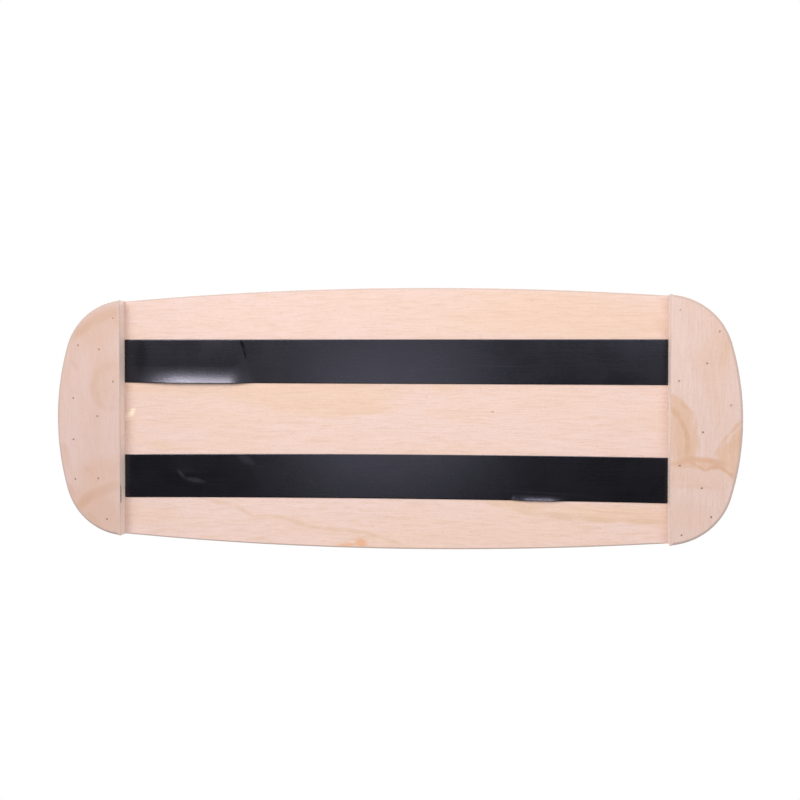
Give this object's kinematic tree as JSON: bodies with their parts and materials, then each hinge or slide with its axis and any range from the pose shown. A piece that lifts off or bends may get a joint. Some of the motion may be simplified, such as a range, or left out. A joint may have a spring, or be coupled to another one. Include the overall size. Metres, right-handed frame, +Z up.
{
  "type": "balance board",
  "caption": "Roller-type balance board: barrel-shaped plywood deck with a plywood stop nailed under each end and grip strips under the deck where a roller bears.",
  "frame": {"origin": "middle of the footprint, on the floor under the two stops", "axes": "+Z up through the standing face, X along the board, Y across it; as in use, standing face up and stops down"},
  "size_m": [0.7706, 0.295, 0.03],
  "materials": {
    "deck_face_veneer": "pale pinkish veneer, sanded and unvarnished, grain along X",
    "stop_face_veneer": "pale veneer with stronger figure, sanded, grain along Y",
    "long_grain_ply": "inner ply with its grain the long way of its piece, sawn and sanded edge",
    "cross_grain_ply": "inner ply with its grain across its piece, sawn and sanded edge",
    "brad_steel": "bright wire, dulled, heads set below the surface",
    "strip_film": "black satin film with a fine emboss",
    "strip_adhesive": "pressure-sensitive adhesive layer"
  },
  "bodies": {
    "root": {"deck_bottom_veneer": "deck_face_veneer", "deck_ply_2": "cross_grain_ply", "deck_ply_3": "long_grain_ply", "deck_ply_4": "cross_grain_ply", "deck_ply_5": "long_grain_ply", "deck_ply_6": "cross_grain_ply", "deck_top_veneer": "deck_face_veneer", "left_stop_bottom_veneer": "stop_face_veneer", "left_stop_ply_2": "cross_grain_ply", "left_stop_ply_3": "long_grain_ply", "left_stop_ply_4": "cross_grain_ply", "left_stop_ply_5": "long_grain_ply", "left_stop_ply_6": "cross_grain_ply", "left_stop_top_veneer": "stop_face_veneer", "left_stop_brads": "brad_steel", "right_stop_bottom_veneer": "stop_face_veneer", "right_stop_ply_2": "cross_grain_ply", "right_stop_ply_3": "long_grain_ply", "right_stop_ply_4": "cross_grain_ply", "right_stop_ply_5": "long_grain_ply", "right_stop_ply_6": "cross_grain_ply", "right_stop_top_veneer": "stop_face_veneer", "right_stop_brads": "brad_steel", "front_grip_strip": "strip_film", "front_strip_adhesive": "strip_adhesive", "rear_grip_strip": "strip_film", "rear_strip_adhesive": "strip_adhesive"}
  },
  "joints": []
}
